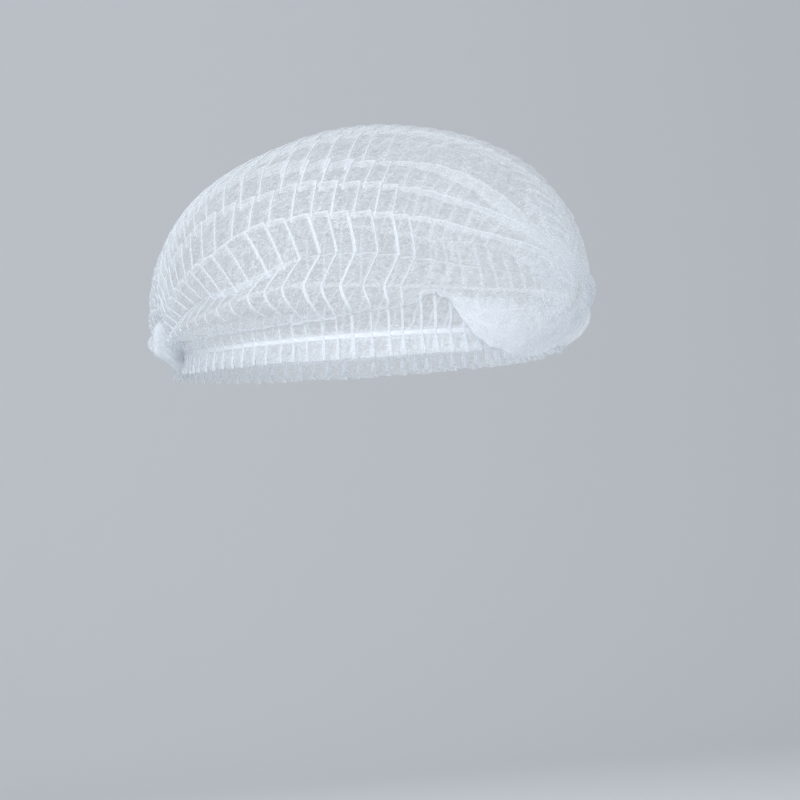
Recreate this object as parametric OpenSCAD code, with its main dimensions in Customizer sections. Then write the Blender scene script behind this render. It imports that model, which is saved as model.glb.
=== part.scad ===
// Disposable pleated mob cap, in the shape it takes when worn.
//
// Origin: centre of the head opening, in the plane of the elastic threads.
// Front of the cap is -Y, the wearer's left is +X, up is +Z.
// The cap is one cut of non-woven sheet, folded like an accordion from ear to ear, with an elastic
// thread in each long edge and both ends welded. Every fold runs from one end weld to the other,
// so the crown is a shell turned about the X axis, and each brim swings about that same axis.

/* [Head opening] */
// Half the width of the opening, at the elastic
opening_half_width = 84; // [72:1:95]
// Half the length of the opening, at the elastic
opening_half_length = 99; // [84:1:118]
// How much tighter the brim turns at forehead and nape than a circle of the opening's width
forehead_step = 6; // [3:1:12]

/* [Brim] */
// Diameter of the elastic thread
elastic_d = 1; // [0.6:0.1:2]
// Clearance between the thread and the hem that it runs in
elastic_clearance = 0.1; // [0.05:0.05:0.3]
// Folded fabric round the thread, on each side of it
hem_wall = 0.6; // [0.4:0.1:1.2]
// Height of the hem
hem_height = 3.8; // [3:0.2:6]
// Height of the frill below the hem
header_height = 6.7; // [4:0.1:12]
// Thickness of the frill, two crimped layers
header_thickness = 0.8; // [0.6:0.1:1.6]
// How far the frill's cut edge flares out
header_flare = 1.5; // [0:0.1:3]

/* [Crown] */
// Thickness of the crimped sheet
sheet_thickness = 1; // [0.8:0.1:2]
// How far the crown swells out past the elastic at each side
side_puff = 19; // [12:1:30]
// How far the crown swells out past the elastic at front and rear
length_puff = 5.5; // [4.5:0.5:16]
// Distance from the fold axis to the crown's widest point
shoulder = 32; // [24:1:45]
// How square the crown's outline is, 2 for an ellipse
fullness = 2.3; // [2:0.1:3]
// Angle above the brim where the crown ends and the loose gather starts
gather_angle = 10; // [7:1:16]

/* [Swing] */
// How far each brim can be pushed up over the hair
brim_lift = 30; // [10:1:40]
// How far each brim can be pulled down over brow or nape
brim_drop = 10; // [0:1:15]

/* [End welds] */
// Height of the welded bar
weld_height = 17; // [12:1:24]
// Thickness of the welded stack of layers, front to rear
weld_thickness = 5; // [3:0.5:8]
// Width of the weld, along the folds
weld_width = 2.8; // [2:0.2:5]
// Radius of the fused elastic ends that the brims turn on
knuckle_radius = 1.8; // [1.2:0.1:2.5]
// How far the cut layers stand out past the weld
frill_reach = 13; // [6:1:18]
// Number of leaves in the cut end
frill_leaves = 5; // [3:1:7]
// Thickness of one leaf, a few layers pressed together
leaf_thickness = 0.7; // [0.5:0.1:1]
// Angle of the whole fan of leaves
frill_fan = 60; // [30:5:75]
// How far the corners of the cut end are rounded away
frill_trim = 4; // [2:0.5:5]

/* [Hidden] */
$fn = 96;

// Gap between two soft solids that only lie against each other
soft_gap = 0.3;

// Oval of the head opening: two tight arcs over forehead and nape, and two wide arcs at the sides
forehead_radius = opening_half_width - forehead_step;
forehead_centre = opening_half_length - forehead_radius;
temple_radius = (forehead_centre ^ 2 + opening_half_width ^ 2 - forehead_radius ^ 2)
                / (2 * (opening_half_width - forehead_radius));
temple_centre = temple_radius - opening_half_width;
arc_turn = atan2(temple_centre, forehead_centre);

// Sizes across the brim
bore_d = elastic_d + 2 * elastic_clearance;
hem_width = bore_d + 2 * hem_wall;
hem_half = hem_height / 2;
hem_chamfer = 0.7;
brim_reach = max(hem_width / 2, header_flare + header_thickness / 2);
header_bottom = -hem_half - header_height;
brim_steps = 48;
ring_sides = 8;

// Each brim stops short of the fold axis, to clear the fused elastic ends and the other brim
brim_end = max(knuckle_radius, hem_half * tan(brim_lift), -header_bottom * tan(brim_drop)) + soft_gap;
brim_turn = 90 - asin(brim_end / temple_radius);

// End welds stand just outside the brims
weld_x = opening_half_width + brim_reach + soft_gap;
frill_x = weld_x + weld_width;
weld_bottom = header_bottom + soft_gap;
weld_top = weld_bottom + weld_height;

// Crown outline, as distance from the fold axis against distance along it
crown_half_width = opening_half_width + side_puff;
crown_radius = opening_half_length + length_puff;
pole_radius = norm([weld_thickness / 2, weld_top]) + soft_gap;
pole_x = weld_x + weld_width / 2;
tuck_steps = 8;
dome_steps = 14;
gather_inset = 2;

// Half of the crown outline from the pole to the top, taken in by t: under the swell, then over it
function tuck(q, t) = [
    shoulder - (shoulder - pole_radius - t) * cos(q),
    pole_x + (crown_half_width - t - pole_x) * sin(q)];
function dome(p, t) = [
    shoulder + (crown_radius - t - shoulder) * sin(p) ^ (2 / fullness),
    (crown_half_width - t) * cos(p) ^ (2 / fullness)];
function half_outline(t) = concat(
    [for (i = [0 : tuck_steps - 1]) tuck(90 * i / tuck_steps, t)],
    [for (i = [0 : dome_steps]) dome(90 * i / dome_steps, t)]);
function other_half(points) = [for (i = [len(points) - 2 : -1 : 0]) [points[i].x, -points[i].y]];
function outline(t) = concat(half_outline(t), other_half(half_outline(t)));
function reversed(points) = [for (i = [len(points) - 1 : -1 : 0]) points[i]];

// A point of the crown outline on the crown's front edge, moved down past the edge by d
function under_edge(point, d) = [
    point.y,
    -point.x * cos(gather_angle) - d * sin(gather_angle),
    point.x * sin(gather_angle) - d * cos(gather_angle)];

// A point of the oval's front half that faces t degrees to the wearer's left, moved out by d
function on_oval(t, d) = abs(t) < arc_turn
    ? [(forehead_radius + d) * sin(t), -forehead_centre - (forehead_radius + d) * cos(t)]
    : [(temple_radius + d) * sin(t) - sign(t) * temple_centre, -(temple_radius + d) * cos(t)];

// Round section of a diameter, as points [distance outside the oval, height]
function ring(d) = [for (k = [0 : ring_sides - 1])
    let (angle = 360 * (k + 0.5) / ring_sides) [d / 2 * cos(angle), d / 2 * sin(angle)]];

// The faces that join n points of one section to the next, from point first on
function skin(first, n, per_section, sections) = [
    for (i = [0 : sections - 1]) for (k = [0 : n - 1])
        let (a = per_section * i + first + k, b = per_section * i + first + (k + 1) % n)
            each [[a, b, b + per_section], [a, b + per_section, a + per_section]]];
function flipped(faces) = [for (face = faces) reversed(face)];

// Sweeps a section along the front half of the oval. A bore's points match the section's, in order.
module along_front(section, bore = []) {
    n = len(section);
    all = concat(section, bore);
    points = [for (i = [0 : brim_steps]) let (t = brim_turn * (2 * i / brim_steps - 1))
        for (s = all) concat(on_oval(t, s.x), s.y)];
    cap = len(bore) == 0
        ? [[for (k = [n - 1 : -1 : 0]) k]]
        : [for (k = [0 : n - 1]) [k, n + k, n + (k + 1) % n, (k + 1) % n]];
    far_cap = [for (face = flipped(cap)) [for (k = face) k + brim_steps * len(all)]];
    walls = concat(
        skin(0, n, len(all), brim_steps),
        len(bore) == 0 ? [] : flipped(skin(n, n, len(all), brim_steps)));
    polyhedron(points = points, faces = concat(cap, far_cap, walls));
}

// The rear of the cap is the front seen in a mirror
module at_rear() {
    mirror([0, 1, 0]) children();
}

// The wearer's right end is the left end seen in a mirror
module at_right() {
    mirror([1, 0, 0]) children();
}

// Fabric folded over the elastic thread and closed round it
module hem() {
    across = hem_width / 2;
    flat = across - hem_chamfer;
    upright = hem_half - hem_chamfer;
    color("white") along_front([
        [across, upright], [flat, hem_half], [-flat, hem_half], [-across, upright],
        [-across, -upright], [-flat, -hem_half], [flat, -hem_half], [across, -upright]],
        ring(bore_d));
}

// Frill of crimped fabric that hangs below the hem
module header() {
    half = header_thickness / 2;
    color("white") along_front([
        [half, -hem_half], [-half, -hem_half],
        [header_flare - half, header_bottom], [header_flare + half, header_bottom]]);
}

// Elastic thread of one brim, from end weld to end weld
module elastic() {
    color("whitesmoke") along_front(ring(elastic_d));
}

// Loose pleats between the hem and the edge of the crown, a ruled sheet of even thickness.
// It ends a few columns short of the poles, where hem and crown run side by side.
module gather() {
    outside = outline(0);
    inside = outline(sheet_thickness);
    half = sheet_thickness / 2;
    last = len(outside) - 1;
    columns = last - 2 * gather_inset;
    points = [for (i = [gather_inset : last - gather_inset])
        let (facing = brim_turn * (1 - 2 * i / last),
             low = concat(on_oval(facing, 0), hem_half + soft_gap + half),
             high = under_edge((outside[i] + inside[i]) / 2, soft_gap + half),
             across = cross(high - low, [cos(facing), sin(facing), 0]),
             d = half * across / norm(across))
            each [low - d, low + d, high + d, high - d]];
    ends = [[3, 2, 1, 0], [for (k = [0 : 3]) 4 * columns + k]];
    color("white") polyhedron(points = points, faces = concat(ends, skin(0, 4, 4, columns)));
}

// Crimped sheet from gather to gather, a shell turned about the fold axis
module crown_sheet() {
    color("white") rotate([0, 90, 0]) rotate(90 + gather_angle)
        rotate_extrude(angle = 180 - 2 * gather_angle)
            polygon(concat(outline(0), reversed(outline(sheet_thickness))));
}

// Fused bar across all the folded layers, with the fused ends of both elastics on the fold axis
module end_weld() {
    color("white") union() {
        translate([weld_x, -weld_thickness / 2, weld_bottom])
            cube([weld_width, weld_thickness, weld_height]);
        translate([opening_half_width - elastic_d, 0, 0]) rotate([0, 90, 0])
            cylinder(r = knuckle_radius, h = weld_x - opening_half_width + elastic_d);
    }
}

// Cut ends of the layers, which spread like a fan outside the weld
module end_frill() {
    middle = (frill_leaves - 1) / 2;
    leaf_pitch = leaf_thickness + soft_gap;
    leaf_turn = frill_fan / (frill_leaves - 1);
    color("white") for (i = [0 : frill_leaves - 1]) {
        side = i - middle;
        corner_room = leaf_thickness / 2 * sin(abs(side) * leaf_turn);
        translate([frill_x + soft_gap + corner_room, side * leaf_pitch, 0])
            rotate(side * leaf_turn) rotate([90, 0, 0])
                linear_extrude(height = leaf_thickness, center = true) polygon([
                    [0, weld_bottom], [frill_reach, weld_bottom + frill_trim / 4],
                    [frill_reach - frill_trim / 3, weld_top - frill_trim],
                    [frill_reach - frill_trim, weld_top], [0, weld_top - frill_trim / 2]]);
    }
}

crown_sheet();
gather();  // front_gather
at_rear() gather();  // rear_gather
end_weld();  // left_end_weld
at_right() end_weld();  // right_end_weld
end_frill();  // left_end_frill
at_right() end_frill();  // right_end_frill
hem();  // front_hem
header();  // front_header
elastic();  // front_elastic
at_rear() hem();  // rear_hem
at_rear() header();  // rear_header
at_rear() elastic();  // rear_elastic
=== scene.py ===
# Disposable pleated mob cap, worn shape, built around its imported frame.
# Metres; origin in the middle of the head opening, front -Y, wearer's left +X, up +Z.
import math

import bpy
import numpy as np
from mathutils import Matrix, Vector


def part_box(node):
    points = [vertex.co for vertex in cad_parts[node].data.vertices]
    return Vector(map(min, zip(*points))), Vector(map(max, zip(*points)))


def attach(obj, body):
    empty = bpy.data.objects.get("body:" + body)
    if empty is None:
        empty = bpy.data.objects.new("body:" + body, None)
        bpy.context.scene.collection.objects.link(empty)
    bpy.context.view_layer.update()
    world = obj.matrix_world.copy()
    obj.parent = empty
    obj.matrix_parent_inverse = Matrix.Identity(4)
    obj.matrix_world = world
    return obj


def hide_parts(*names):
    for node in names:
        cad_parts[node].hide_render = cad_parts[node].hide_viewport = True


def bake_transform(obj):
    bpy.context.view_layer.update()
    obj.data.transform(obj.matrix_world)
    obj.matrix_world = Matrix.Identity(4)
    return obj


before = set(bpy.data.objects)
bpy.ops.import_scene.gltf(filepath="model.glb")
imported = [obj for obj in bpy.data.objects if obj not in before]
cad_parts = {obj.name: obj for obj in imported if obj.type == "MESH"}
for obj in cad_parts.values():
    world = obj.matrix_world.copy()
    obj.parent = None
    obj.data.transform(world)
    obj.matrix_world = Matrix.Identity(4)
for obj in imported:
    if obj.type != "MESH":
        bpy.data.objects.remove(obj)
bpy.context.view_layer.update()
scene = bpy.context.scene


# --- Studio -------------------------------------------------------------------------------------
# A pale sweep of paper from floor to wall. One soft lamp lights the cap from the front, weak ones
# from above, from the side and from behind, and a broad one lights the wall. The cap stands clear
# of the floor, as it does on a head.
def linear(code):
    """An sRGB hex colour as the linear values that a shader takes."""
    parts = [int(code[i:i + 2], 16) / 255 for i in (1, 3, 5)]
    return [c / 12.92 if c <= 0.04045 else ((c + 0.055) / 1.055) ** 2.4 for c in parts] + [1.0]


def add(material, kind, values=None, inputs=None, links=()):
    """Adds a node to a material: its settings, its input values and the links into it."""
    made = material.node_tree.nodes.new(kind)
    for name, value in (values or {}).items():
        setattr(made, name, value)
    for name, value in (inputs or {}).items():
        made.inputs[name].default_value = value
    for source, socket in links:
        material.node_tree.links.new(source, made.inputs[socket])
    return made


def new_material(name):
    """An empty node material."""
    material = bpy.data.materials.new(name)
    material.use_nodes = True
    material.node_tree.nodes.clear()
    return material


def aim(place, target):
    """The turn that makes a lamp or camera at place look at target."""
    return (Vector(target) - Vector(place)).to_track_quat("-Z", "Y")


CAMERA_AZIMUTH = math.radians(-11.0)
CAMERA_HEIGHT = math.radians(-2.3)
CAMERA_ROLL = math.radians(3.7)
CAMERA_DISTANCE = 1.8
CAMERA_RIGHT = 0.016
CAMERA_DOWN = 0.025
backwards = Vector((
    math.sin(CAMERA_AZIMUTH) * math.cos(CAMERA_HEIGHT),
    -math.cos(CAMERA_AZIMUTH) * math.cos(CAMERA_HEIGHT),
    math.sin(CAMERA_HEIGHT)))
level_turn = (-backwards).to_track_quat("-Z", "Y")
camera_turn = level_turn @ Matrix.Rotation(-CAMERA_ROLL, 3, "Z").to_quaternion()
camera_right = camera_turn @ Vector((1, 0, 0))
camera_up = camera_turn @ Vector((0, 1, 0))
camera = bpy.data.objects.new("camera", bpy.data.cameras.new("camera"))
scene.collection.objects.link(camera)
camera.data.sensor_width = 36
camera.data.lens = 172
camera.rotation_mode = "QUATERNION"
camera.rotation_quaternion = camera_turn
camera.location = backwards * CAMERA_DISTANCE + camera_right * CAMERA_RIGHT - camera_up * CAMERA_DOWN
scene.camera = camera

FLOOR_DROP = 0.30
FLOOR_REACH = 16.0
SWEEP_RADIUS = 0.9
WALL_DISTANCE = 2.6
WALL_HEIGHT = 5.0
sweep = [(-FLOOR_REACH, 0.0), (WALL_DISTANCE - SWEEP_RADIUS, 0.0)]
sweep += [(WALL_DISTANCE - SWEEP_RADIUS * (1 - math.sin(a)), SWEEP_RADIUS * (1 - math.cos(a)))
          for a in [math.radians(6 * k) for k in range(1, 16)]]
sweep += [(WALL_DISTANCE, WALL_HEIGHT)]
backdrop_mesh = bpy.data.meshes.new("backdrop")
backdrop_mesh.from_pydata(
    [(x, y, z - FLOOR_DROP) for y, z in sweep for x in (-FLOOR_REACH, FLOOR_REACH)], [],
    [(2 * k, 2 * k + 1, 2 * k + 3, 2 * k + 2) for k in range(len(sweep) - 1)])
backdrop_mesh.polygons.foreach_set("use_smooth", [True] * len(backdrop_mesh.polygons))
backdrop = bpy.data.objects.new("backdrop", backdrop_mesh)
scene.collection.objects.link(backdrop)
paper = new_material("matt_background_paper")
paper_out = add(paper, "ShaderNodeOutputMaterial")
paper_grain = add(paper, "ShaderNodeTexNoise", inputs={"Scale": 900.0, "Detail": 3.0})
paper_bump = add(paper, "ShaderNodeBump", inputs={"Strength": 0.05, "Distance": 0.0002},
                 links=[(paper_grain.outputs["Fac"], "Height")])
paper_face = add(paper, "ShaderNodeBsdfPrincipled",
                 inputs={"Base Color": linear("#e6e8eb"), "Roughness": 0.9},
                 links=[(paper_bump.outputs["Normal"], "Normal")])
paper.node_tree.links.new(paper_face.outputs["BSDF"], paper_out.inputs["Surface"])
backdrop_mesh.materials.append(paper)


def soft_lamp(name, place, target, size, power, tint):
    """A square area lamp that looks at a target."""
    lamp = bpy.data.objects.new(name, bpy.data.lights.new(name, "AREA"))
    scene.collection.objects.link(lamp)
    lamp.data.size = size
    lamp.data.energy = power
    lamp.data.color = linear(tint)[:3]
    lamp.location = place
    lamp.rotation_mode = "QUATERNION"
    lamp.rotation_quaternion = aim(place, target)
    return lamp


soft_lamp("front_lamp", (-0.42, -1.0, 0.42), (0, 0, 0.05), 0.45, 10.0, "#f8fbff")
soft_lamp("top_lamp", (-0.3, -0.1, 0.9), (0, 0, 0.05), 0.5, 2.2, "#ffffff")
soft_lamp("side_lamp", (0.9, -0.55, 0.20), (0, 0, 0.05), 0.4, 2.2, "#eef5ff")
soft_lamp("rear_lamp", (-0.4, 1.1, 0.45), (0, 0, 0.05), 0.5, 1.6, "#f8fbff")
soft_lamp("wall_lamp", (0.0, 0.6, 1.2), (0, 2.6, 0.15), 1.4, 8.5, "#f4f7fb")
world = bpy.data.worlds.new("studio_air")
world.use_nodes = True
world.node_tree.nodes["Background"].inputs["Color"].default_value = linear("#eef2f6")
world.node_tree.nodes["Background"].inputs["Strength"].default_value = 0.42
scene.world = world
scene.view_settings.view_transform = "Standard"
scene.cycles.transparent_max_bounces = 40


# --- Crimped cloth, front half and rear half ----------------------------------------------------
# One cut of spunbond polypropylene non-woven, 12 g/m2, about 450 mm square. It is crimped across
# in knife pleats, folded like an accordion into about 20 bands from ear to ear, and each long
# edge is folded in over its elastic. Front and rear half meet on the fold along the top. Its
# shape is worked out in millimetres, and only the flat cut is in metres.
CRIMPS = 46
CRIMP_OVERLAP = 1.15
SEAM_OVERLAP = 2.4
FRILL_STRETCH = 0.14
STACK_HEIGHT = 17.0
STACK_DEPTH = 2.4

crown_low, crown_high = (1000 * np.array(c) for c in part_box("crown_sheet"))
weld_reach = 1000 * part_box("left_end_weld")[1][0]
header_bottom = 1000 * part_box("front_header")[0][2]
CLOTH_CLEARANCE = 0.5
CROWN_HALF_WIDTH = crown_high[0] - CLOTH_CLEARANCE
CROWN_RADIUS = crown_high[1] if crown_high[1] > 0 else -crown_low[1]
SHOULDER = 32.0
FULLNESS = 2.3
POLE_RADIUS = 9.35
POLE_X = weld_reach - 1.4
WELD_INNER = weld_reach - 2.8


def smooth(x, low, high):
    """0 below low, 1 above high, and an even turn between them."""
    t = np.clip((x - low) / (high - low), 0, 1)
    return t * t * (3 - 2 * t)


def hump(s):
    """0 at both ends of a stretch and 1 in its middle."""
    return math.sin(math.pi * s)


def wander(draws, rows, columns, knots_down, knots_across):
    """Smooth random values from about -1 to 1 on a grid of rows and columns."""
    rough = draws.uniform(-1, 1, (knots_down + 3, knots_across + 3))

    def spread(values, count, axis):
        place = np.linspace(1, values.shape[axis] - 2.001, count)
        whole = place.astype(int)
        part = place - whole
        part = part.reshape((-1, 1) if axis == 0 else (1, -1))
        a, b, c, d = (np.take(values, whole + k, axis) for k in (-1, 0, 1, 2))
        return b + 0.5 * part * (c - a + part * (2 * a - 5 * b + 4 * c - d + part * (3 * (b - c) + d - a)))

    return spread(spread(rough, rows, 0), columns, 1)


# The crown's outline from right end to left end, as distance from the fold axis by distance
# along it, the same as the frame's
turn = np.radians(np.linspace(0, 90, 41))
rise = np.radians(np.linspace(0, 90, 241))
tuck_radius = SHOULDER - (SHOULDER - POLE_RADIUS) * np.cos(turn)
tuck_x = POLE_X + (CROWN_HALF_WIDTH - POLE_X) * np.sin(turn)
dome_radius = SHOULDER + (CROWN_RADIUS - SHOULDER) * np.sin(rise) ** (2 / FULLNESS)
dome_x = CROWN_HALF_WIDTH * np.cos(rise) ** (2 / FULLNESS)
half_x = np.r_[tuck_x[:-1], dome_x]
half_radius = np.r_[tuck_radius[:-1], dome_radius]
outline_x = np.r_[-half_x, half_x[::-1][1:]]
outline_radius = np.r_[half_radius, half_radius[::-1][1:]]
outline_run = np.r_[0, np.cumsum(np.hypot(np.diff(outline_x), np.diff(outline_radius)))]
CROWN_HALF_RUN = outline_run[-1] / 2

# The oval of the head opening, right end to left end, the same as the frame's
FOREHEAD_RADIUS = 78.0
FOREHEAD_CENTRE = 21.0
TEMPLE_RADIUS = 117.75
TEMPLE_CENTRE = 33.75
ARC_TURN = math.atan2(TEMPLE_CENTRE, FOREHEAD_CENTRE)
facing = np.radians(np.linspace(-88.6, 88.6, 401))
on_forehead = np.abs(facing) < ARC_TURN
oval_x = np.where(on_forehead, FOREHEAD_RADIUS * np.sin(facing),
                  TEMPLE_RADIUS * np.sin(facing) - np.sign(facing) * TEMPLE_CENTRE)
oval_y = np.where(on_forehead, -FOREHEAD_CENTRE - FOREHEAD_RADIUS * np.cos(facing),
                  -TEMPLE_RADIUS * np.cos(facing))
oval_run = np.r_[0, np.cumsum(np.hypot(np.diff(oval_x), np.diff(oval_y)))]
BRIM_HALF_RUN = oval_run[-1] / 2
EAR_SWELL = 5.0


def brim_point(share):
    """Place on the brim and the way out from it, for a share of its length from -1 to 1. The brim
    stands a little out from the head opening over each ear, where the bunched cloth pushes it."""
    run = (share + 1) * BRIM_HALF_RUN
    t = np.interp(run, oval_run, facing)
    swell = EAR_SWELL * smooth(np.abs(share), 0.42, 0.82)
    out_x, out_y = np.sin(t), -np.cos(t)
    return (np.interp(run, oval_run, oval_x) + swell * out_x,
            np.interp(run, oval_run, oval_y) + swell * out_y, out_x, out_y)


def crown_point(share, angle):
    """Place on the crown for a share of its length and an angle above the brim, in degrees. The
    crown sags towards the wearer's right, and is drawn in there and above the left ear."""
    run = (share + 1) * CROWN_HALF_RUN
    x = np.interp(run, outline_run, outline_x)
    radius = np.interp(run, outline_run, outline_radius)
    sag = 1 - 0.0018 * np.log1p(np.exp(-(x + 4) / 6)) * 6
    drawn_right = 0.05 * smooth(-x, 65, 103)
    drawn_left = 0.045 * smooth(x, 65, 103) * (1 - smooth(angle, 8, 26))
    x = x * (1 - drawn_right - drawn_left)
    a = np.radians(angle)
    return np.stack([x, -radius * np.cos(a), radius * np.sin(a) * sag], -1)


def crown_out(share, angle):
    """The way out from the crown, square to it."""
    along = crown_point(share + 0.004, angle) - crown_point(share - 0.004, angle)
    up = crown_point(share, angle + 0.5) - crown_point(share, angle - 0.5)
    out = np.cross(along, up)
    return out / np.maximum(np.linalg.norm(out, axis=-1, keepdims=True), 1e-9)


# One crimp, column by column: place across it as a share, plus millimetres, then its height in mm,
# and how much cloth lies pressed together there
CRIMP_COLUMNS = [(0.0, -1.0, -0.30, 0.75), (0.0, -0.35, -0.32, 0.2), (0.0, 0.45, -0.16, 0.0),
                 (0.25, 0.0, 0.10, 0.0), (0.5, 0.0, 0.24, 0.0), (0.75, 0.0, 0.30, 0.0),
                 (1.0, -0.55, 0.30, 0.35), (1.0, -0.1, 0.26, 1.0), (1.0, -0.06, 0.12, 1.0),
                 (1.0, -0.55, 0.0, 1.0)]
# Hem and header, from the turned-in edge down to the frill's edge and up again outside: height and
# way out in mm, and how much the frill waves there
HEM_SECTION = [
    (2.5, -0.75, 0), (1.3, -0.98, 0), (0.0, -1.05, 0), (-1.3, -0.95, 0), (-2.1, -0.45, 0),
    (-3.4, -0.3, 0.3), (-4.8, -0.05, 0.6), (-6.2, 0.35, 0.8), (-7.4, 0.75, 0.9),
    (-8.2, 1.05, 1.0), (-8.6, 1.4, 1.0), (-8.2, 1.75, 1.0), (-7.4, 1.75, 0.9),
    (-6.2, 1.55, 0.8), (-4.8, 1.25, 0.6), (-3.4, 0.95, 0.3), (-2.1, 0.75, 0),
    (-1.3, 0.5, 0), (-0.6, 0.42, 0), (0.0, 0.38, 0), (0.6, 0.42, 0), (1.3, 0.5, 0), (2.1, 0.6, 0)]
HEM_EDGE = 10
GATHER_ROWS, TUCK_ROWS = 10, 6
# Rows in each band of the crown, three where the cloth turns back under a fold, and how flat the
# crimps of each band are pulled over the smooth part
TURN_ROWS = 3
BAND_ROWS = [13, 10, 3, 13, 3, 13, 3, 13, 3, 13, 3, 13]
BAND_FLATNESS = [1, 1, 1, 1, 1, 0.92, 0.92, 0.8, 0.8, 0.6, 0.6, 0.35]
TOP_BAND = len(BAND_ROWS) - 1


def cloth_rows():
    """The rows of the mesh from the turned-in edge to the top fold. s is how far a row lies along
    its stretch of the cloth, and order how deep that stretch lies in the welded stack."""
    rows = [{"kind": "hem", "z": z, "out": out, "ruffle": ruffle, "s": 0,
             "order": 0.0 if k < HEM_EDGE else 0.3}
            for k, (z, out, ruffle) in enumerate(HEM_SECTION)]
    rows += [{"kind": "gather", "s": k / GATHER_ROWS, "order": 1.0} for k in range(1, GATHER_ROWS + 1)]
    rows += [{"kind": "tuck", "s": k / TUCK_ROWS, "order": 2.0} for k in range(1, TUCK_ROWS + 1)]
    rows += [{"kind": "band", "band": band, "s": k / number, "order": 3.0 + band}
             for band, number in enumerate(BAND_ROWS) for k in range(1, number + 1)]
    return rows


def spacing(base):
    """Crimps stand closer together towards both ends."""
    return base * (1.2 - 0.2 * base * base)


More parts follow.
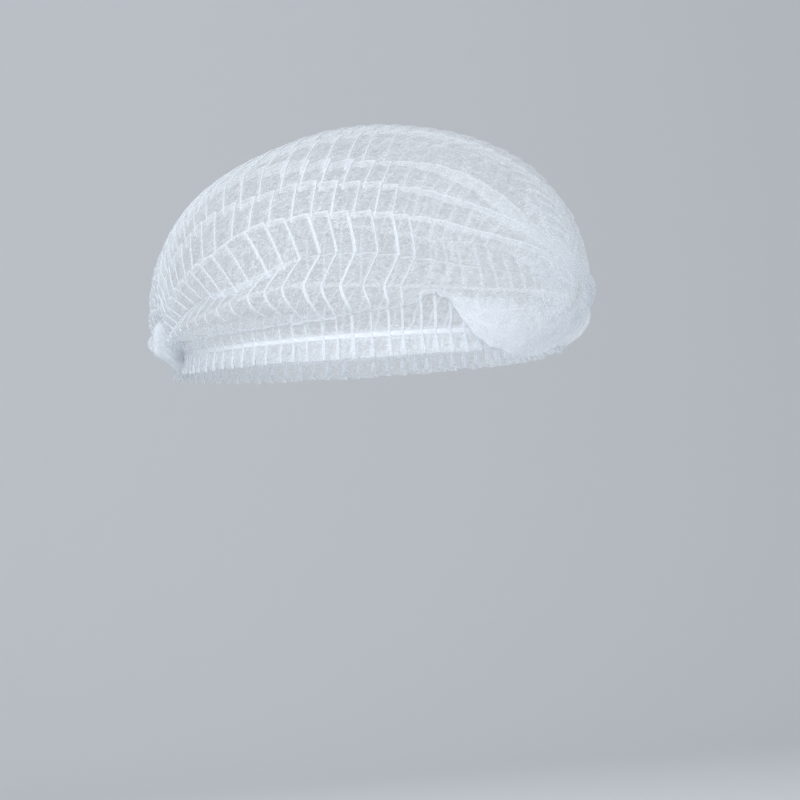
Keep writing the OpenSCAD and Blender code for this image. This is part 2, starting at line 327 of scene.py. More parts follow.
def cloth_half(name, seed, folds, rim, flap, smooth_area, mirror):
    """Half of the cloth. folds are rows of (places, angles) over the crown, rim the lower edge of
    the crown by place, flap how far it stands out, and smooth_area where the crimps are pulled flat."""
    draws = np.random.default_rng(seed)
    per_crimp = len(CRIMP_COLUMNS)
    count = CRIMPS * per_crimp + 1
    crimp_number = np.minimum(np.arange(count) // per_crimp, CRIMPS - 1)
    column = np.arange(count) % per_crimp
    share_in, back_in, height_in, pressed_in = np.array(CRIMP_COLUMNS)[column].T.copy()
    even_in = column / per_crimp
    share_in[-1], back_in[-1], height_in[-1], even_in[-1] = 1.0, 0.0, 0.0, 1.0
    width_of = 1 + 0.35 * draws.uniform(-1, 1, CRIMPS)[crimp_number]
    nudge = 0.10 * draws.uniform(-1, 1, CRIMPS + 1)
    nudge[0] = nudge[-1] = 0
    evenly = np.clip((crimp_number + even_in) / CRIMPS * 2 - 1, -1, 1)
    end = np.abs(evenly)
    keep_end = 1 - end ** 8

    rows = cloth_rows()
    total = len(rows)
    speck = wander(draws, total, count, 70, 150)
    drift = wander(draws, total, count, 14, 40)
    slow = wander(draws, total, count, 6, 12)
    crease = wander(draws, total, count, 40, 10)
    crumple = wander(draws, total, count, 16, 22)

    def crimped(strength, half_run):
        """Share along the cloth for each column and how far it is folded back, with crimps folded
        by strength."""
        shares = share_in * strength + even_in * (1 - strength)
        low = crimp_number + nudge[crimp_number]
        high = crimp_number + 1 + nudge[crimp_number + 1]
        base = (low + (high - low) * shares) / CRIMPS * 2 - 1
        along = spacing(base) * keep_end + evenly * (1 - keep_end)
        return along, back_in * CRIMP_OVERLAP * width_of * strength / half_run

    def on_brim(strength, more_fold=0.0, slide=0.0):
        """Place on the brim and the way out from it for each column."""
        along, fold = crimped(strength, BRIM_HALF_RUN)
        return brim_point(np.clip(along + fold * (1 + more_fold) + slide, -1, 1))

    # the rim of the crown, the flap that hangs out from it and the part that is pulled smooth
    run = (spacing(evenly) + 1) * CROWN_HALF_RUN
    plain_x = np.interp(run, outline_run, outline_x)
    radius = np.maximum(np.interp(run, outline_run, outline_radius), 12)
    rim_z = np.interp(plain_x, rim[0], rim[1])
    rim_out = 2.2 + np.interp(plain_x, flap[0], flap[1])
    rim_fall = smooth(rim_out, 3.2, 6.2)
    smoothness = np.interp(plain_x, smooth_area[0], smooth_area[1])
    lap = rim_z + 2.0 + 2.8 * smooth(-plain_x, 40, 62)
    turn_z = np.maximum(lap, 14.5 * rim_fall + lap * (1 - rim_fall))

    # fold lines of the crown from the rim up: angle, way out in mm and slide along the cloth in mm.
    # At a fold the cloth turns back under itself, and over the right ear a thick bundle lies there.
    # Above the welds the top band runs a little past the middle, so that the halves overlap
    f1, f2, f3, f4, f5 = [np.interp(plain_x, places, angles) for places, angles in folds]
    f6 = f5 + (90 - f5) * 0.5
    deep = 1.8 + 6.0 * end ** 2
    shallow = 0.3 + 5.5 * end ** 2
    sideways = smooth(np.abs(evenly), 0.12, 0.5)
    turned_back = np.degrees((0.6 + 7.0 * end ** 3) / radius)
    bundle = 0.25 + 4.2 * smooth(-plain_x, 48, 66) * (1 - smooth(-plain_x, 88, 100)) + 5.0 * end ** 4
    seam_overlap = np.degrees(SEAM_OVERLAP * smooth(end, 0.3, 0.65) / radius)
    stations = [
        (0.0 * f1, 0.0, 0.0),
        (f1, 0.9, 0.0),
        (f2, -deep, 8.5 + 3.0 * sideways),
        (f2 - np.degrees(bundle / radius), 0.3 - deep * 0.5, 8.5 + 3.0 * sideways),
        (f3, 0.6, 8.0 - 8.0 * sideways),
        (f3 - turned_back, -shallow, -7.0 * sideways),
        (f4, 0.6, 6.5 - 6.0 * sideways),
        (f4 - turned_back, -shallow, -2.0 - 5.0 * sideways),
        (f5, 0.6, 6.5 - 5.0 * sideways),
        (f5 - turned_back, -shallow, -8.0),
        (f6, 0.6, 7.0),
        (f6 - turned_back, -shallow, -8.0),
        (90 + seam_overlap, 0.4, 10.0)]

    def hem_row(r, facts):
        """A row of the hem or of the frill below it."""
        ruffle, level = facts["ruffle"], facts["z"]
        slide = 0.35 * ruffle * (1 if facts["order"] > 0 else -1) / BRIM_HALF_RUN
        x, y, out_x, out_y = on_brim(keep_end, 0.9 * ruffle, slide * keep_end)
        over_thread = 0.35 if abs(level) < 1 else 1.0
        out = facts["out"] + height_in * (over_thread + 0.8 * ruffle) * keep_end
        out = out + 0.35 * ruffle * drift[r] + 0.5 * ruffle * height_in
        z = level + 0.45 * ruffle * speck[r] * (level < -6)
        z = z + np.where((column <= 1) | (column >= 8), 1.2, -0.3) * ruffle * (level < -7)
        if level < -2:
            z = z - FRILL_STRETCH * (-level - 2) * (1 - end ** 4)
        return np.stack([x + out_x * out, y + out_y * out, z], -1)

    def gather_row(r, s):
        """A row of the loose pleats, from the hem up to the turn behind the crown's rim."""
        x, y, out_x, out_y = on_brim(keep_end)
        out = (0.7 + 0.3 * height_in + 0.9 * hump(s) + 0.3 * s + 0.25 * slow[r] * s
               + height_in * 1.1 * keep_end)
        return np.stack([x + out_x * out, y + out_y * out, 2.1 + (turn_z - 2.1) * s], -1)

    def tuck_row(r, s):
        """A row between that turn and the crown's rim."""
        strength = keep_end * (1 - smoothness * smooth(s, 0.2, 1.0))
        x, y, out_x, out_y = on_brim(strength)
        start_out = 1.0 + height_in * 1.1 * strength
        end_out = rim_out + height_in * 0.8 * strength
        out = start_out + (end_out - start_out) * smooth(s, 0, 1) + rim_fall * 1.5 * hump(s)
        z = turn_z + (rim_z - turn_z) * s + 0.5 * speck[r] * s
        return np.stack([x + out_x * out, y + out_y * out, z], -1)

    def band_row(r, band, s):
        """A row of the crown. The lowest band swings out from the rim, the others lie on the dome."""
        (a0, d0, s0), (a1, d1, s1) = stations[band], stations[band + 1]
        flat_here = smoothness * BAND_FLATNESS[band]
        strength = keep_end * (1 - flat_here)
        along, fold = crimped(strength, CROWN_HALF_RUN)
        share = np.clip(along + (s0 + (s1 - s0) * s) / CROWN_HALF_RUN * (1 - end ** 6) + fold, -1, 1)
        out = height_in * strength * (2.4 if band == TOP_BAND else 1.3)
        if BAND_ROWS[band] > TURN_ROWS:
            out = out + 0.9 * hump(s)
        if band == 0:
            rim_strength = (1 - smoothness) * keep_end
            x, y, out_x, out_y = on_brim(rim_strength)
            low_out = rim_out + height_in * 0.8 * rim_strength
            low = np.stack([x + out_x * low_out, y + out_y * low_out, rim_z], -1)
            high = crown_point(share, a1)
            lean = crown_point(share, a1 - 6.0) - high
            lean = lean / np.maximum(np.linalg.norm(lean, axis=-1, keepdims=True), 1e-6)
            reach = np.linalg.norm(high - low, axis=-1, keepdims=True)
            upper = high + lean * reach * 0.45
            lower = low + np.stack([out_x * 0.75, out_y * 0.75, 0.66 + 0 * out_x], -1) * reach * 0.42
            point = ((1 - s) ** 3 * low + 3 * (1 - s) ** 2 * s * lower
                     + 3 * (1 - s) * s * s * upper + s ** 3 * high)
            out = out + d1 * s + 0.5 * crease[r] * (1 - strength) * hump(s)
            point = point + crown_out(share, a1) * out[:, None]
        else:
            angle = a0 + (a1 - a0) * s
            out = out + d0 + (d1 - d0) * s
            point = crown_point(share, angle) + crown_out(share, angle) * out[:, None]
        loose = 0.35 + 1.1 * (1 - strength)
        unevenness = (0.3 * drift[r] + 0.5 * slow[r] * loose) * (1 - end ** 10)
        if band < TOP_BAND:
            unevenness = unevenness + 1.1 * (np.abs(crumple[r]) - 0.4) * flat_here * (1 - end ** 6)
        return point + crown_out(np.clip(share, -0.97, 0.97), 30.0) * unevenness[:, None]

    # both ends run into the welded stack, where every band stands its full height
    grid = np.zeros((total, count, 3))
    stack = np.zeros_like(grid)
    stack[..., 0] = np.sign(evenly) * (WELD_INNER + 0.3 - 10.0 * (1 - end))
    stack_low = header_bottom + 0.3
    stack_high = stack_low + STACK_HEIGHT
    for r, facts in enumerate(rows):
        kind, s = facts["kind"], facts["s"]
        if kind == "hem":
            grid[r] = hem_row(r, facts)
            stack[r, :, 2] = facts["z"]
        elif kind == "gather":
            grid[r] = gather_row(r, s)
            stack[r, :, 2] = 2.0 + (stack_high - 2.0) * s
        elif kind == "tuck":
            grid[r] = tuck_row(r, s)
            stack[r, :, 2] = stack_high - STACK_HEIGHT * s
        else:
            grid[r] = band_row(r, facts["band"], s)
            upwards = facts["band"] % 2 == 0
            stack[r, :, 2] = stack_low + STACK_HEIGHT * s if upwards else stack_high - STACK_HEIGHT * s
        stack[r, :, 1] = STACK_DEPTH * ((facts["order"] + s) / (3.0 + len(BAND_ROWS)) - 1)
    weld_share = smooth(end, 0.86, 0.985)[None, :, None]
    cloth = 0.001 * (grid * (1 - weld_share) + stack * weld_share)

    # what the material shows: cloth drawn tight over the thread, cloth that lies doubled, pressed
    # crimps and fold edges, and the thin turns behind them
    near_thread, doubled, creased, tucked = np.zeros((4, total, count))
    side_cover = np.maximum(0.75 * smooth(evenly, 0.42, 0.62), 0.35 * smooth(-evenly, 0.6, 0.75))
    rolled_rim = 0.7 + 0.8 * smooth(-plain_x, 15, 45) * (1 - smooth(-plain_x, 85, 98))
    pressed = pressed_in * keep_end
    for r, facts in enumerate(rows):
        kind, s = facts["kind"], facts["s"]
        if kind == "hem":
            near_thread[r] = math.exp(-(facts["z"] / 2.4) ** 2)
            on_thread = abs(facts["z"]) < 1 and facts["out"] > 0
            creased[r] = 1.6 if on_thread else pressed
        elif kind == "gather":
            near_thread[r] = math.exp(-((2.1 + 12 * s) / 2.6) ** 2)
            creased[r] = pressed
            if s > 0.35:
                tucked[r] = 0.5 + 0.35 * smooth(-plain_x, 20, 50)
        elif kind == "tuck":
            doubled[r] = smoothness * 0.85
            creased[r] = pressed * (1 - smoothness * 0.9)
            tucked[r] = 0.9 * (1 - smoothness) * (s < 0.99)
            if s > 0.8:
                creased[r] = np.maximum(creased[r], rolled_rim)
        else:
            band = facts["band"]
            risen = s if band == 0 else 1.0
            doubled[r] = np.maximum(smoothness * (0.85 - 0.70 * smooth(risen, 0.25, 1.0)), side_cover)
            creased[r] = pressed * (1 - smoothness * 0.9)
            if band < TOP_BAND:
                wrinkle = 1 - smooth(np.abs(crumple[r]), 0.0, 0.09)
                creased[r] = np.maximum(creased[r], 0.45 * smoothness * wrinkle)
            if BAND_ROWS[band] == TURN_ROWS:
                tucked[r] = 1.0 * (s < 0.99)
            elif s > 0.99:
                creased[r] = np.maximum(creased[r], 0.8 if band > 0 else 0.5)

    if mirror:
        cloth[..., 1] *= -1
    mesh = bpy.data.meshes.new(name)
    corner = np.arange(total * count).reshape(total, count)
    quads = np.stack([corner[:-1, :-1], corner[:-1, 1:], corner[1:, 1:], corner[1:, :-1]], -1)
    quads = quads.reshape(-1, 4)[:, ::-1 if mirror else 1]
    mesh.from_pydata(cloth.reshape(-1, 3).tolist(), [], quads.tolist())
    mesh.polygons.foreach_set("use_smooth", np.ones(len(mesh.polygons), bool))
    # flat cut as the cloth's own map, in metres: across the crimps and along the bands
    step_across = np.linalg.norm(np.diff(cloth, axis=1), axis=2)
    across = np.r_[0, np.cumsum(np.median(step_across, axis=0))]
    step_down = np.linalg.norm(np.diff(cloth, axis=0), axis=2)
    down = np.r_[0, np.cumsum(np.median(step_down, axis=1))]
    map_cloth(mesh, np.stack(np.broadcast_arrays(across[None, :], down[:, None]), -1))
    for label, values in (("near_thread", near_thread), ("doubled", doubled), ("creased", creased),
                          ("tucked", tucked)):
        mark = mesh.attributes.new(label, "FLOAT", "POINT")
        mark.data.foreach_set("value", values.astype(np.float32).ravel())
    mesh.set_sharp_from_angle(angle=math.radians(70))
    piece = bpy.data.objects.new(name, mesh)
    scene.collection.objects.link(piece)
    return piece


def map_cloth(mesh, flat_map):
    """Gives a cloth mesh its own map, from a place in metres for each point."""
    loops = np.empty(len(mesh.loops), int)
    mesh.loops.foreach_get("vertex_index", loops)
    flat = flat_map.reshape(-1, 2)[loops].astype(np.float32).ravel()
    mesh.uv_layers.new(name="cloth_map").data.foreach_set("uv", flat)


# Folds over the crown: places from the wearer's right to left in mm, and angles above the brim
FOLD_PLACES = [-103, -90, -84, -76, -68, -60, -52, -44, -35, -26,
               -17, -7, 7, 20, 33, 46, 60, 76, 90, 103]
FRONT_FOLDS = [
    (FOLD_PLACES, [14, 13, 13.5, 14.6, 15, 15.3, 15.4, 14.8, 13.9, 13.2,
                   12.4, 11.6, 11, 10.5, 10, 10, 10, 10, 10, 10]),
    (FOLD_PLACES, [24, 22, 21, 21.5, 23, 23.8, 24, 23.8, 23.2, 22.3,
                   21.2, 20, 18.6, 17.2, 16.2, 15.5, 15, 15, 15, 15]),
    (FOLD_PLACES, [40, 38, 37, 38, 39.3, 39.3, 37.6, 36.8, 35.6, 34.2,
                   33, 31.6, 30, 28.2, 26.6, 25, 23.4, 21.5, 20, 20]),
    (FOLD_PLACES, [60, 59, 58, 56.5, 54, 51.6, 50.6, 50.4, 47.6, 45.2,
                   43.6, 42, 39.6, 37.8, 35.5, 33, 30, 26, 23, 22]),
    (FOLD_PLACES, [78, 77, 76, 75, 73, 70, 67, 63.5, 58.6, 55.6,
                   53, 51, 50.4, 49.4, 47, 41.5, 33.6, 27.5, 25, 24])]
# The rear's folds run more evenly: mean angle, sway, and the sway's pace and start along the places
REAR_FOLD_SWAY = [(13, 2, 1.0, 0), (23, 2, 1.3, 1), (37, 2, 0.9, 2), (52, 2.5, 0.8, 1), (67, 3, 0.7, 0)]
REAR_FOLDS = [(FOLD_PLACES, [mean + sway * math.cos(pace * k + start) for k in range(len(FOLD_PLACES))])
              for mean, sway, pace, start in REAR_FOLD_SWAY]
# The front's rim drops into a flap in front of the left temple, where the crimps are pulled smooth
FRONT_RIM = ([-103, -80, -65, -52, -39, -32, -23, -16, -10, -4, 3, 8,
              13, 18, 23, 27, 31, 36, 44, 58, 76, 90, 103],
             [5.8, 6.3, 6.9, 7.2, 8.1, 8.9, 10.2, 10.4, 11.2, 10.6, 12.4, 15.0,
              17.0, 16.4, 13.5, 9.0, 3.0, -3.0, -8.0, -12.0, -13.0, -10, -6])
FRONT_FLAP = ([-103, 0, 12, 25, 36, 60, 80, 103], [0.0, 0.3, 1.2, 3.5, 5.0, 5.0, 2.0, 0.0])
FRONT_SMOOTH = ([-103, -8, 4, 22, 103], [0, 0, 0.25, 0.94, 0.97])
REAR_RIM = ([-103, -60, -20, 20, 60, 103], [6, 8, 10.5, 9.5, 8, 6])
REAR_FLAP = ([-103, 103], [0.2, 0.2])
REAR_SMOOTH = ([-103, 103], [0, 0])

front_cloth = cloth_half("front_crimped_cloth", 11, FRONT_FOLDS, FRONT_RIM, FRONT_FLAP, FRONT_SMOOTH, False)
rear_cloth = cloth_half("rear_crimped_cloth", 23, REAR_FOLDS, REAR_RIM, REAR_FLAP, REAR_SMOOTH, True)

# Spunbond polypropylene: thin white filaments, melted to each other at random, with open gaps
# between them. One layer lets more than half the light straight through, and layers on top of
# each other look whiter and whiter. Three directions of noise ridges make the filaments.
spunbond = new_material("spunbond_polypropylene")
spun_out = add(spunbond, "ShaderNodeOutputMaterial")
cloth_place = add(spunbond, "ShaderNodeUVMap", {"uv_map": "cloth_map"})
strands = None
for angle, scale, seed in ((6, 1.0, 0.0), (-29, 0.9, 3.1), (48, 1.15, 7.7)):
    lay = add(spunbond, "ShaderNodeMapping", {"vector_type": "TEXTURE"},
              {"Location": (seed, seed * 0.37, 0), "Rotation": (0, 0, math.radians(angle)),
               "Scale": (0.0085 * scale, 0.00105 * scale, 1)},
              [(cloth_place.outputs["UV"], "Vector")])
    fibre = add(spunbond, "ShaderNodeTexNoise",
                inputs={"Scale": 1.0, "Detail": 2.5, "Roughness": 0.6, "Distortion": 0.9},
                links=[(lay.outputs["Vector"], "Vector")])
    ridge = add(spunbond, "ShaderNodeMath", {"operation": "SUBTRACT"}, {1: 0.5},
                [(fibre.outputs["Fac"], 0)])
    ridge = add(spunbond, "ShaderNodeMath", {"operation": "ABSOLUTE"}, links=[(ridge.outputs[0], 0)])
    ridge = add(spunbond, "ShaderNodeMapRange", {"interpolation_type": "SMOOTHSTEP"},
                {"From Min": 0.006, "From Max": 0.024, "To Min": 1.0, "To Max": 0.0},
                [(ridge.outputs[0], "Value")])
    if strands is None:
        strands = ridge.outputs["Result"]
    else:
        strands = add(spunbond, "ShaderNodeMath", {"operation": "MAXIMUM"},
                      links=[(strands, 0), (ridge.outputs["Result"], 1)]).outputs[0]
cloud = add(spunbond, "ShaderNodeTexNoise", inputs={"Scale": 170.0, "Detail": 4.0, "Roughness": 0.65},
            links=[(cloth_place.outputs["UV"], "Vector")])
cover = add(spunbond, "ShaderNodeMapRange",
            inputs={"From Min": 0.32, "From Max": 0.68, "To Min": 0.01, "To Max": 0.14},
            links=[(cloud.outputs["Fac"], "Value")])
webbed = add(spunbond, "ShaderNodeMath", {"operation": "MULTIPLY_ADD", "use_clamp": True}, {1: 0.5},
             [(strands, 0), (cover.outputs["Result"], 2)])
# Over the thread the cloth is drawn into fine upright gathers. Doubled cloth, creases and gathers
# all close part of the gaps that the filaments leave open, and turned-in folds count for less
pucker_lay = add(spunbond, "ShaderNodeMapping", {"vector_type": "TEXTURE"},
                 {"Scale": (0.0007, 0.006, 1)}, [(cloth_place.outputs["UV"], "Vector")])
pucker = add(spunbond, "ShaderNodeTexNoise", inputs={"Scale": 1.0, "Detail": 2.0},
             links=[(pucker_lay.outputs["Vector"], "Vector")])
near_thread = add(spunbond, "ShaderNodeAttribute", {"attribute_name": "near_thread"})
gathers = add(spunbond, "ShaderNodeMath", {"operation": "MULTIPLY"},
              links=[(pucker.outputs["Fac"], 0), (near_thread.outputs["Fac"], 1)])
doubled = add(spunbond, "ShaderNodeAttribute", {"attribute_name": "doubled"})
extra = add(spunbond, "ShaderNodeMath", {"operation": "MULTIPLY"}, {1: 0.55},
            [(doubled.outputs["Fac"], 0)])
extra = add(spunbond, "ShaderNodeMath", {"operation": "MULTIPLY_ADD"}, {1: 0.55},
            [(gathers.outputs[0], 0), (extra.outputs[0], 2)])
creased = add(spunbond, "ShaderNodeAttribute", {"attribute_name": "creased"})
extra = add(spunbond, "ShaderNodeMath", {"operation": "MULTIPLY_ADD", "use_clamp": True}, {1: 0.7},
            [(creased.outputs["Fac"], 0), (extra.outputs[0], 2)])
left_open = add(spunbond, "ShaderNodeMath", {"operation": "SUBTRACT", "use_clamp": True}, {0: 1.0},
                [(webbed.outputs[0], 1)])
density = add(spunbond, "ShaderNodeMath", {"operation": "MULTIPLY_ADD", "use_clamp": True},
              links=[(left_open.outputs[0], 0), (extra.outputs[0], 1), (webbed.outputs[0], 2)])
tucked = add(spunbond, "ShaderNodeAttribute", {"attribute_name": "tucked"})
tucked_thin = add(spunbond, "ShaderNodeMath", {"operation": "MULTIPLY_ADD"}, {1: -0.7, 2: 1.0},
                  [(tucked.outputs["Fac"], 0)])
density = add(spunbond, "ShaderNodeMath", {"operation": "MULTIPLY"},
              links=[(density.outputs[0], 0), (tucked_thin.outputs[0], 1)])
spun_bump = add(spunbond, "ShaderNodeBump", inputs={"Strength": 0.35, "Distance": 0.0002},
                links=[(strands, "Height")])
spun_face = add(spunbond, "ShaderNodeBsdfPrincipled",
                inputs={"Base Color": linear("#f5f8fb"), "Roughness": 0.55, "Specular IOR Level": 0.3,
                        "Sheen Weight": 0.15, "Sheen Roughness": 0.4},
                links=[(spun_bump.outputs["Normal"], "Normal")])
spun_glow = add(spunbond, "ShaderNodeBsdfTranslucent", inputs={"Color": linear("#f4f8fb")})
spun_body = add(spunbond, "ShaderNodeMixShader", inputs={"Fac": 0.45},
                links=[(spun_face.outputs["BSDF"], 1), (spun_glow.outputs["BSDF"], 2)])
spun_gap = add(spunbond, "ShaderNodeBsdfTransparent", inputs={"Color": (1, 1, 1, 1)})
spun_mix = add(spunbond, "ShaderNodeMixShader",
               links=[(density.outputs[0], "Fac"), (spun_gap.outputs["BSDF"], 1),
                      (spun_body.outputs["Shader"], 2)])
spunbond.node_tree.links.new(spun_mix.outputs["Shader"], spun_out.inputs["Surface"])

# Each half takes the spunbond, and the frame's parts that it stands in for are hidden
for half, brim_body, side in ((front_cloth, "front_brim", -1), (rear_cloth, "rear_brim", 1)):
    half.data.materials.append(spunbond)
    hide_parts(*(("front_gather", "front_hem", "front_header", "crown_sheet") if side < 0
                        else ("rear_gather", "rear_hem", "rear_header", "crown_sheet")))
    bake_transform(half)


# --- Elastic threads ----------------------------------------------------------------------------
# One covered elastic runs in each hem: a rubber core about 1 mm thick, wound with white polyester
# yarn. It follows the hem's own curve, and stops inside the bunched cloth just before the welds.
THREAD_RADIUS = 0.00052
THREAD_TURNS = 150
THREAD_STEPS = 1500
THREAD_SHARE = 0.955
THREAD_PLACES = 301


def join_nodes(tree, kind, values=None, inputs=None, links=()):
    """Adds a node to a geometry tree in the same way as for a material."""
    made = tree.nodes.new(kind)
    for name, value in (values or {}).items():
        setattr(made, name, value)
    for name, value in (inputs or {}).items():
        made.inputs[name].default_value = value
    for source, socket in links:
        tree.links.new(source, made.inputs[socket])
    return made


def new_tree(name, sizes):
    """A geometry tree with an input geometry and named sizes, and its input and output nodes."""
    tree = bpy.data.node_groups.new(name, "GeometryNodeTree")
    tree.interface.new_socket("Geometry", in_out="INPUT", socket_type="NodeSocketGeometry")
    for label, kind, value in sizes:
        socket = tree.interface.new_socket(label, in_out="INPUT", socket_type=kind)
        socket.default_value = value
    tree.interface.new_socket("Geometry", in_out="OUTPUT", socket_type="NodeSocketGeometry")
    return tree, tree.nodes.new("NodeGroupInput"), tree.nodes.new("NodeGroupOutput")


def grown(name, base, tree, settings):
    """The plain mesh that a geometry tree makes from a base object, as an object of its own."""
    scene.collection.objects.link(base)
    modifier = base.modifiers.new("grow", "NODES")
    modifier.node_group = tree
    sockets = {i.name: i.identifier for i in tree.interface.items_tree
               if i.item_type == "SOCKET" and i.in_out == "INPUT"}
    for label, value in settings.items():
        modifier[sockets[label]] = value
    graph = bpy.context.evaluated_depsgraph_get()
    mesh = bpy.data.meshes.new_from_object(base.evaluated_get(graph), depsgraph=graph)
    mesh.name = name
    bpy.data.objects.remove(base)
    piece = bpy.data.objects.new(name, mesh)
    scene.collection.objects.link(piece)
    return piece


covered_elastic = new_material("wound_polyester_cover")
cover_out = add(covered_elastic, "ShaderNodeOutputMaterial")
cover_place = add(covered_elastic, "ShaderNodeTexCoord")
cover_lint = add(covered_elastic, "ShaderNodeTexNoise", inputs={"Scale": 2600.0, "Detail": 3.0},
                 links=[(cover_place.outputs["Object"], "Vector")])
cover_tint = add(covered_elastic, "ShaderNodeMix", {"data_type": "RGBA"},
                 {"A": linear("#f4f8fb"), "B": linear("#ffffff")},
                 [(cover_lint.outputs["Fac"], "Factor")])
cover_bump = add(covered_elastic, "ShaderNodeBump", inputs={"Strength": 0.4, "Distance": 0.0001},
                 links=[(cover_lint.outputs["Fac"], "Height")])
cover_face = add(covered_elastic, "ShaderNodeBsdfPrincipled",
                 inputs={"Roughness": 0.7, "Sheen Weight": 0.3},
                 links=[(cover_tint.outputs["Result"], "Base Color"),
                        (cover_bump.outputs["Normal"], "Normal")])
covered_elastic.node_tree.links.new(cover_face.outputs["BSDF"], cover_out.inputs["Surface"])

thread_tree, thread_in, thread_out = new_tree("wound_thread", [
    ("Radius", "NodeSocketFloat", THREAD_RADIUS), ("Turns", "NodeSocketFloat", THREAD_TURNS),
    ("Steps", "NodeSocketInt", THREAD_STEPS), ("Material", "NodeSocketMaterial", None)])
thread_line = join_nodes(thread_tree, "GeometryNodeMeshToCurve",
                         links=[(thread_in.outputs["Geometry"], "Mesh")])
thread_even = join_nodes(thread_tree, "GeometryNodeResampleCurve",
                         links=[(thread_line.outputs["Curve"], "Curve"),
                                (thread_in.outputs["Steps"], "Count")])
thread_way = join_nodes(thread_tree, "GeometryNodeSplineParameter")
thread_angle = join_nodes(thread_tree, "ShaderNodeMath", {"operation": "MULTIPLY"},
                          links=[(thread_way.outputs["Factor"], 0), (thread_in.outputs["Turns"], 1)])
thread_round = join_nodes(thread_tree, "ShaderNodeMath", {"operation": "MULTIPLY"}, {1: 2 * math.pi},
                          [(thread_angle.outputs[0], 0)])
thread_tilt = join_nodes(thread_tree, "GeometryNodeSetCurveTilt",
                         links=[(thread_even.outputs["Curve"], "Curve"), (thread_round.outputs[0], "Tilt")])
thread_thin = join_nodes(thread_tree, "ShaderNodeMath", {"operation": "MULTIPLY"}, {1: 0.8},
                         [(thread_in.outputs["Radius"], 0)])
thread_section = join_nodes(thread_tree, "GeometryNodeCurveStar", inputs={"Points": 5},
                            links=[(thread_in.outputs["Radius"], "Outer Radius"),
                                   (thread_thin.outputs[0], "Inner Radius")])
thread_skin = join_nodes(thread_tree, "GeometryNodeCurveToMesh", inputs={"Fill Caps": True},
                         links=[(thread_tilt.outputs["Curve"], "Curve"),
                                (thread_section.outputs["Curve"], "Profile Curve")])
thread_soft = join_nodes(thread_tree, "GeometryNodeSetShadeSmooth",
                         links=[(thread_skin.outputs["Mesh"], "Geometry")])
thread_real = join_nodes(thread_tree, "GeometryNodeRealizeInstances",
                         links=[(thread_soft.outputs["Geometry"], "Geometry")])
thread_paint = join_nodes(thread_tree, "GeometryNodeSetMaterial",
                          links=[(thread_real.outputs["Geometry"], "Geometry"),
                                 (thread_in.outputs["Material"], "Material")])
thread_tree.links.new(thread_paint.outputs["Geometry"], thread_out.inputs["Geometry"])

for thread_name, node, body, side in (("front_elastic_thread", "front_elastic", "front_brim", 1),
                                      ("rear_elastic_thread", "rear_elastic", "rear_brim", -1)):
    thread_path = bpy.data.meshes.new(thread_name)
    thread_x, thread_y = brim_point(np.linspace(-THREAD_SHARE, THREAD_SHARE, THREAD_PLACES))[:2]
    thread_path.from_pydata([(x / 1000, side * y / 1000, 0) for x, y in zip(thread_x, thread_y)],
                            [(k, k + 1) for k in range(len(thread_x) - 1)], [])
    thread = grown(thread_name, bpy.data.objects.new(thread_name, thread_path), thread_tree,
                   {"Radius": THREAD_RADIUS, "Turns": float(THREAD_TURNS), "Steps": THREAD_STEPS,
                    "Material": covered_elastic})
    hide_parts(node)
    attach(thread, body)


# --- End welds ----------------------------------------------------------------------------------
# All the folded layers and both threads, fused into one stiff bar by an ultrasonic horn with a
# pattern of small dots. The fused stack is glassier than the cloth, and still shows its layers.
WELD_DOT = 0.0011
WELD_LAYERS = 20
WELD_LEVELS = 14
WELD_RIB = 0.00012
WELD_ROUND = 0.0008
WELD_CHAMFER = 0.0006

fused_polypropylene = new_material("fused_polypropylene")
fused_out = add(fused_polypropylene, "ShaderNodeOutputMaterial")
fused_place = add(fused_polypropylene, "ShaderNodeTexCoord")
fused_cloud = add(fused_polypropylene, "ShaderNodeTexNoise", inputs={"Scale": 700.0, "Detail": 4.0},
                  links=[(fused_place.outputs["Object"], "Vector")])
fused_tint = add(fused_polypropylene, "ShaderNodeMix", {"data_type": "RGBA"},
                 {"A": linear("#dfe6ec"), "B": linear("#f6f9fb")},
                 [(fused_cloud.outputs["Fac"], "Factor")])
fused_gloss = add(fused_polypropylene, "ShaderNodeMapRange", inputs={"To Min": 0.3, "To Max": 0.6},
                  links=[(fused_cloud.outputs["Fac"], "Value")])
fused_bump = add(fused_polypropylene, "ShaderNodeBump", inputs={"Strength": 0.5, "Distance": 0.0002},
                 links=[(fused_cloud.outputs["Fac"], "Height")])
fused_face = add(fused_polypropylene, "ShaderNodeBsdfPrincipled", inputs={"IOR": 1.49},
                 links=[(fused_tint.outputs["Result"], "Base Color"),
                        (fused_gloss.outputs["Result"], "Roughness"),
                        (fused_bump.outputs["Normal"], "Normal")])
fused_glow = add(fused_polypropylene, "ShaderNodeBsdfTranslucent", inputs={"Color": linear("#eef3f7")})
fused_mix = add(fused_polypropylene, "ShaderNodeMixShader", inputs={"Fac": 0.25},
                links=[(fused_face.outputs["BSDF"], 1), (fused_glow.outputs["BSDF"], 2)])
fused_polypropylene.node_tree.links.new(fused_mix.outputs["Shader"], fused_out.inputs["Surface"])

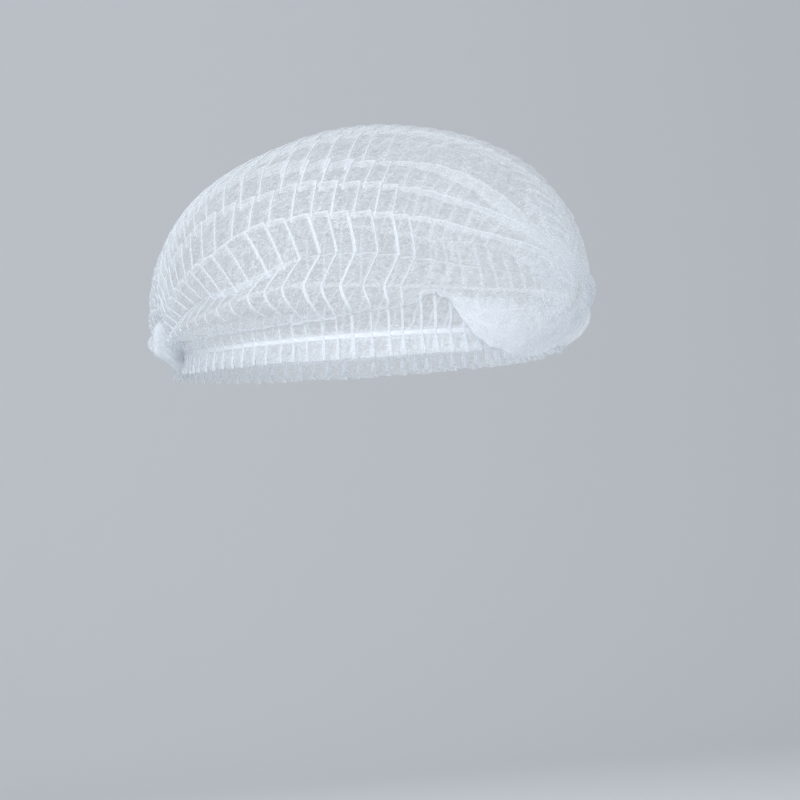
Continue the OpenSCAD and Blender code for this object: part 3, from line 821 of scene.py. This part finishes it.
weld_tree, weld_in, weld_out = new_tree("dotted_weld", [
    ("Dot Size", "NodeSocketFloat", WELD_DOT), ("Material", "NodeSocketMaterial", None)])
weld_facing = join_nodes(weld_tree, "GeometryNodeInputNormal")
weld_side = join_nodes(weld_tree, "ShaderNodeSeparateXYZ",
                       links=[(weld_facing.outputs["Normal"], "Vector")])
weld_turned = join_nodes(weld_tree, "ShaderNodeMath", {"operation": "ABSOLUTE"},
                         links=[(weld_side.outputs["Y"], 0)])
weld_flat = join_nodes(weld_tree, "ShaderNodeMath", {"operation": "GREATER_THAN"}, {1: 0.9},
                       [(weld_turned.outputs[0], 0)])
weld_spots = join_nodes(weld_tree, "GeometryNodeMeshToPoints", {"mode": "FACES"},
                        links=[(weld_in.outputs["Geometry"], "Mesh"), (weld_flat.outputs[0], "Selection")])
weld_dot = join_nodes(weld_tree, "GeometryNodeMeshIcoSphere", inputs={"Subdivisions": 2},
                      links=[(weld_in.outputs["Dot Size"], "Radius")])
weld_dots = join_nodes(weld_tree, "GeometryNodeInstanceOnPoints", inputs={"Scale": (0.45, 0.28, 0.45)},
                       links=[(weld_spots.outputs["Points"], "Points"),
                              (weld_dot.outputs["Mesh"], "Instance")])
weld_all = join_nodes(weld_tree, "GeometryNodeJoinGeometry",
                      links=[(weld_dots.outputs["Instances"], "Geometry")])
weld_tree.links.new(weld_in.outputs["Geometry"], weld_all.inputs["Geometry"])
weld_soft = join_nodes(weld_tree, "GeometryNodeSetShadeSmooth",
                       links=[(weld_all.outputs["Geometry"], "Geometry")])
weld_real = join_nodes(weld_tree, "GeometryNodeRealizeInstances",
                       links=[(weld_soft.outputs["Geometry"], "Geometry")])
weld_paint = join_nodes(weld_tree, "GeometryNodeSetMaterial",
                        links=[(weld_real.outputs["Geometry"], "Geometry"),
                               (weld_in.outputs["Material"], "Material")])
weld_tree.links.new(weld_paint.outputs["Geometry"], weld_out.inputs["Geometry"])


def weld_bar(name, side):
    """The fused bar: its layer edges show as fine ribs, and its corners are melted round."""
    low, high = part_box("left_end_weld")
    bar_low, bar_high = WELD_INNER / 1000, high[0]
    ring = []
    half = high[1]
    for k in range(WELD_LAYERS * 2 + 1):
        y = -half + 2 * half * k / (WELD_LAYERS * 2)
        pinch = 1 - 0.45 * abs(y / half) ** 6
        rib = WELD_RIB if k % 2 else 0.0
        ring.append((bar_high - rib - WELD_ROUND * (1 - pinch), y))
    section = ring + [(bar_low + WELD_CHAMFER, half), (bar_low, half * 0.6), (bar_low, -half * 0.6),
                      (bar_low + WELD_CHAMFER, -half)]
    levels = [low[2] + (high[2] - low[2]) * k / WELD_LEVELS for k in range(WELD_LEVELS + 1)]
    verts, faces = [], []
    for k, z in enumerate(levels):
        shrink = 1 - 0.12 * (abs(2 * k / WELD_LEVELS - 1) ** 8)
        centre = (bar_low + bar_high) / 2
        verts += [(side * (centre + (x - centre) * shrink), y * shrink, z) for x, y in section]
    n = len(section)
    for k in range(WELD_LEVELS):
        for i in range(n):
            a, b = k * n + i, k * n + (i + 1) % n
            faces.append((a, b, b + n, a + n) if side > 0 else (a, a + n, b + n, b))
    bottom = list(range(n))
    top = [WELD_LEVELS * n + i for i in range(n)]
    faces.append(bottom[::-1] if side > 0 else bottom)
    faces.append(top if side > 0 else top[::-1])
    mesh = bpy.data.meshes.new(name)
    mesh.from_pydata(verts, [], faces)
    return bpy.data.objects.new(name, mesh)


for weld_name, node, side in (("left_fused_end", "left_end_weld", 1),
                              ("right_fused_end", "right_end_weld", -1)):
    fused = grown(weld_name, weld_bar(weld_name, side), weld_tree,
                  {"Dot Size": WELD_DOT, "Material": fused_polypropylene})
    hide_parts(node)
    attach(fused, "crown")


# --- Cut ends of the layers ---------------------------------------------------------------------
# Past each weld the twenty cut layers stand out as a loose tuft, about 13 mm long. They were cut
# with a toothed knife, so every layer ends in small points, and they spread and curl.
TUFT_LAYERS = 20
TUFT_POINTS = 14
TUFT_STEPS = 18
TUFT_REACH = 0.0135
TUFT_HALF_DEPTH = 0.0024
TUFT_INSET = 0.0003
OUTER_INSET = 0.0030
OUTER_SPREAD = 0.0014
LAYER_WIDTH = 0.017
TUFT_CURL = 0.0011
TUFT_LIFT = 0.0026
TUFT_RISE = 0.0080
TOOTH = 0.0017


def cut_ends(name, seed, side):
    """Zigzag of layers that fans out from the weld to a toothed edge."""
    draws = np.random.default_rng(seed)
    low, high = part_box("left_end_frill")
    count = TUFT_LAYERS * TUFT_POINTS + 1
    layer = np.minimum(np.arange(count) / TUFT_POINTS, TUFT_LAYERS - 1e-6)
    within = layer % 1
    up = np.where(layer.astype(int) % 2 == 0, within, 1 - within)
    z0 = low[2] + (high[2] - low[2]) * up
    y0 = -TUFT_HALF_DEPTH + 2 * TUFT_HALF_DEPTH * layer / TUFT_LAYERS
    curl = wander(draws, TUFT_STEPS + 1, count, 4, TUFT_LAYERS * 2)
    lift = wander(draws, TUFT_STEPS + 1, count, 4, 14)
    length = TUFT_REACH * (0.86 + 0.14 * wander(draws, 2, count, 1, TUFT_LAYERS)[0])
    tooth = TOOTH * np.abs((z0 / TOOTH / 2 + draws.uniform(0, 1, count) * 0.15) % 1 - 0.5) * 1.2
    corner = 0.004 * np.abs(2 * up - 1) ** 6
    reach = length - tooth - corner
    verts = np.zeros((TUFT_STEPS + 1, count, 3))
    # the outermost layers start a little further in, and lap over the front and back of the weld
    outermost = smooth(np.abs(y0) / TUFT_HALF_DEPTH, 0.35, 1.0)
    fan = y0 / TUFT_HALF_DEPTH * math.radians(30)
    for k in range(TUFT_STEPS + 1):
        s = k / TUFT_STEPS
        x = s * reach
        verts[k, :, 0] = side * (weld_reach / 1000 - TUFT_INSET - OUTER_INSET * outermost * (1 - s)
                                 + x * np.cos(fan))
        verts[k, :, 1] = (y0 + np.sign(y0) * OUTER_SPREAD * outermost * (1 - s) + x * np.sin(fan)
                          + TUFT_CURL * s * curl[k])
        verts[k, :, 2] = z0 * (1 - 0.10 * s) + TUFT_RISE * s + TUFT_LIFT * s * s * lift[k]
    corner_of = np.arange((TUFT_STEPS + 1) * count).reshape(TUFT_STEPS + 1, count)
    quads = np.stack([corner_of[:-1, :-1], corner_of[1:, :-1], corner_of[1:, 1:], corner_of[:-1, 1:]], -1)
    mesh = bpy.data.meshes.new(name)
    mesh.from_pydata(verts.reshape(-1, 3).tolist(), [], quads.reshape(-1, 4).tolist())
    mesh.polygons.foreach_set("use_smooth", np.ones(len(mesh.polygons), bool))
    run = np.arange(count) * LAYER_WIDTH / TUFT_POINTS
    out = np.linspace(0, TUFT_REACH, TUFT_STEPS + 1)
    map_cloth(mesh, np.stack(np.broadcast_arrays(out[:, None], run[None, :]), -1))
    mesh.set_sharp_from_angle(angle=math.radians(60))
    mesh.materials.append(spunbond)
    piece = bpy.data.objects.new(name, mesh)
    scene.collection.objects.link(piece)
    return piece


for tuft_name, node, side, seed in (("left_cut_ends", "left_end_frill", 1, 5),
                                    ("right_cut_ends", "right_end_frill", -1, 9)):
    tuft = cut_ends(tuft_name, seed, side)
    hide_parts(node)
    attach(tuft, "crown")
